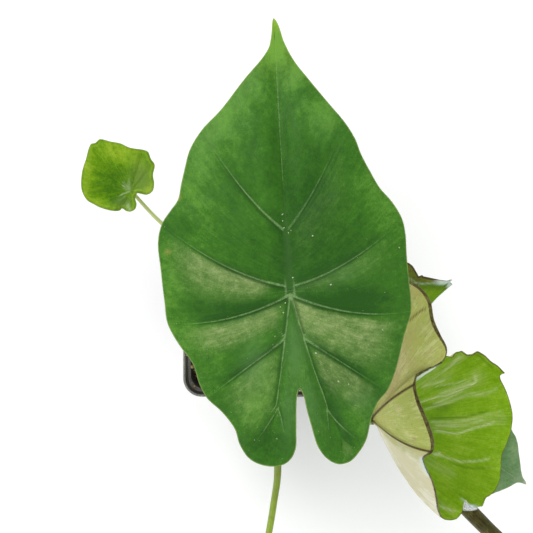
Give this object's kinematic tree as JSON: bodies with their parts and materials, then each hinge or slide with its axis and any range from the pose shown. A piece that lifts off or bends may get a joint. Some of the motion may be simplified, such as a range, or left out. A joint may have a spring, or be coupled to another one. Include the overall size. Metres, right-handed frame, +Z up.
{
  "type": "potted calidora alocasia",
  "caption": "Young elephant-ear house plant with shield-shaped leaves on long stalks, one cupped and one round, rooted in a square dark nursery pot.",
  "frame": {"origin": "centre of the pot's flat underside", "axes": "+Z up, +Y the way the main leaf's tip points, +X to the right seen from above"},
  "size_m": [0.2853, 0.3255, 0.3012],
  "materials": {
    "pot_plastic": "satin moulded plastic, near black",
    "potting_mix": "moist bark and peat mix with a little perlite",
    "stem_skin": "smooth green-brown stem skin",
    "leaf_green": "satin dark green blade, paler veins",
    "leaf_grey_green": "dull grey-green blade",
    "leaf_lime": "lime green inside, olive and cream outside, brown ribs and rim",
    "leaf_young_lime": "soft lime green young blade",
    "stalk_green": "smooth light green stalk",
    "stalk_pale": "smooth pale yellow-green stalk",
    "stalk_dark": "dark olive-brown stalk"
  },
  "bodies": {
    "root": {"pot": "pot_plastic", "soil": "potting_mix", "stem": "stem_skin", "leaf_main_blade": "leaf_green", "leaf_main_petiole": "stalk_green", "leaf_cup_blade": "leaf_lime", "leaf_cup_petiole": "stalk_green", "leaf_right_blade": "leaf_green", "leaf_right_petiole": "stalk_dark", "leaf_hanging_blade": "leaf_grey_green", "leaf_hanging_petiole": "stalk_green", "leaf_front_blade": "leaf_green", "leaf_front_petiole": "stalk_green", "leaf_young_blade": "leaf_young_lime", "leaf_young_petiole": "stalk_pale"}
  },
  "joints": []
}
